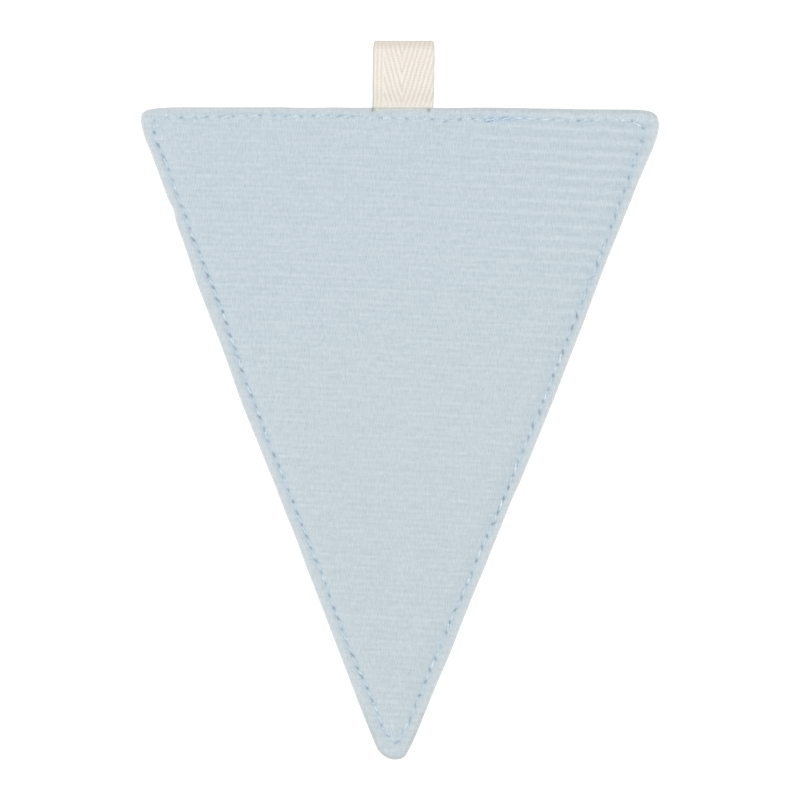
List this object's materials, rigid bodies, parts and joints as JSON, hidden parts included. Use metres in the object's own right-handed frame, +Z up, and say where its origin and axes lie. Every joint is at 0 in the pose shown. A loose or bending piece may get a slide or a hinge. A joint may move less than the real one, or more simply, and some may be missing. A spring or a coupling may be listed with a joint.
{
  "type": "fabric bunting flag",
  "caption": "Triangular cloth bunting flag of two sewn and turned ribbed velvet panels, with a folded cotton tape loop in its top seam to hang it by.",
  "frame": {"origin": "on the surface that the flag lies on, under the middle of its whole length and width", "axes": "+Z up out of the flag's face, +Y from the apex to the hanging loop, +X to the right as seen from the face"},
  "size_m": [0.1604, 0.223, 0.0068],
  "materials": {
    "ribbed_velvet": "pale blue short-pile velvet with fine cross ribs, matt with a soft sheen",
    "cotton_tape": "natural cream cotton herringbone tape, matt"
  },
  "bodies": {
    "root": {"front_panel": "ribbed_velvet", "back_panel": "ribbed_velvet", "hanging_loop": "cotton_tape"}
  },
  "joints": []
}
